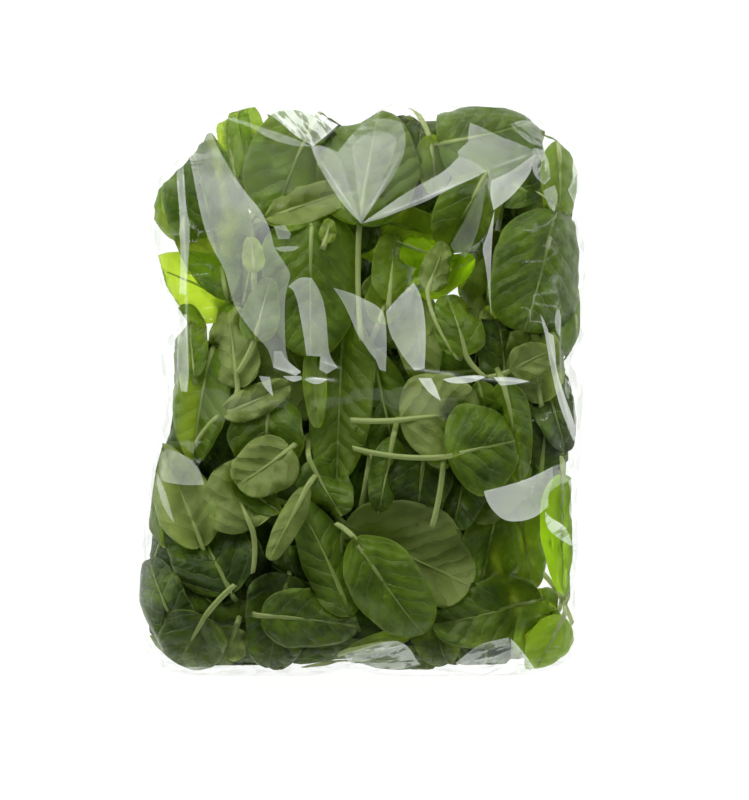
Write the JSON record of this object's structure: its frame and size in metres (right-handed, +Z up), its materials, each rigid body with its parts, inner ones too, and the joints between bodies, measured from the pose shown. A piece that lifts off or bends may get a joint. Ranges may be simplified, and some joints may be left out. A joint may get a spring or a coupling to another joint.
{
  "type": "bag of spinach",
  "caption": "Sealed clear film bag packed full of loose baby spinach leaves, lying flat on its back.",
  "frame": {"origin": "on the table, under the middle of the bag as it lies on its back", "axes": "+Z up out of the bag's front face, +Y towards the end that was the bag's top, +X to the right of the front face"},
  "size_m": [0.2138, 0.274, 0.0644],
  "materials": {
    "bag_of_leaves": "clear film over deep green leaves"
  },
  "bodies": {
    "root": {"spinach_bag": "bag_of_leaves"}
  },
  "joints": []
}
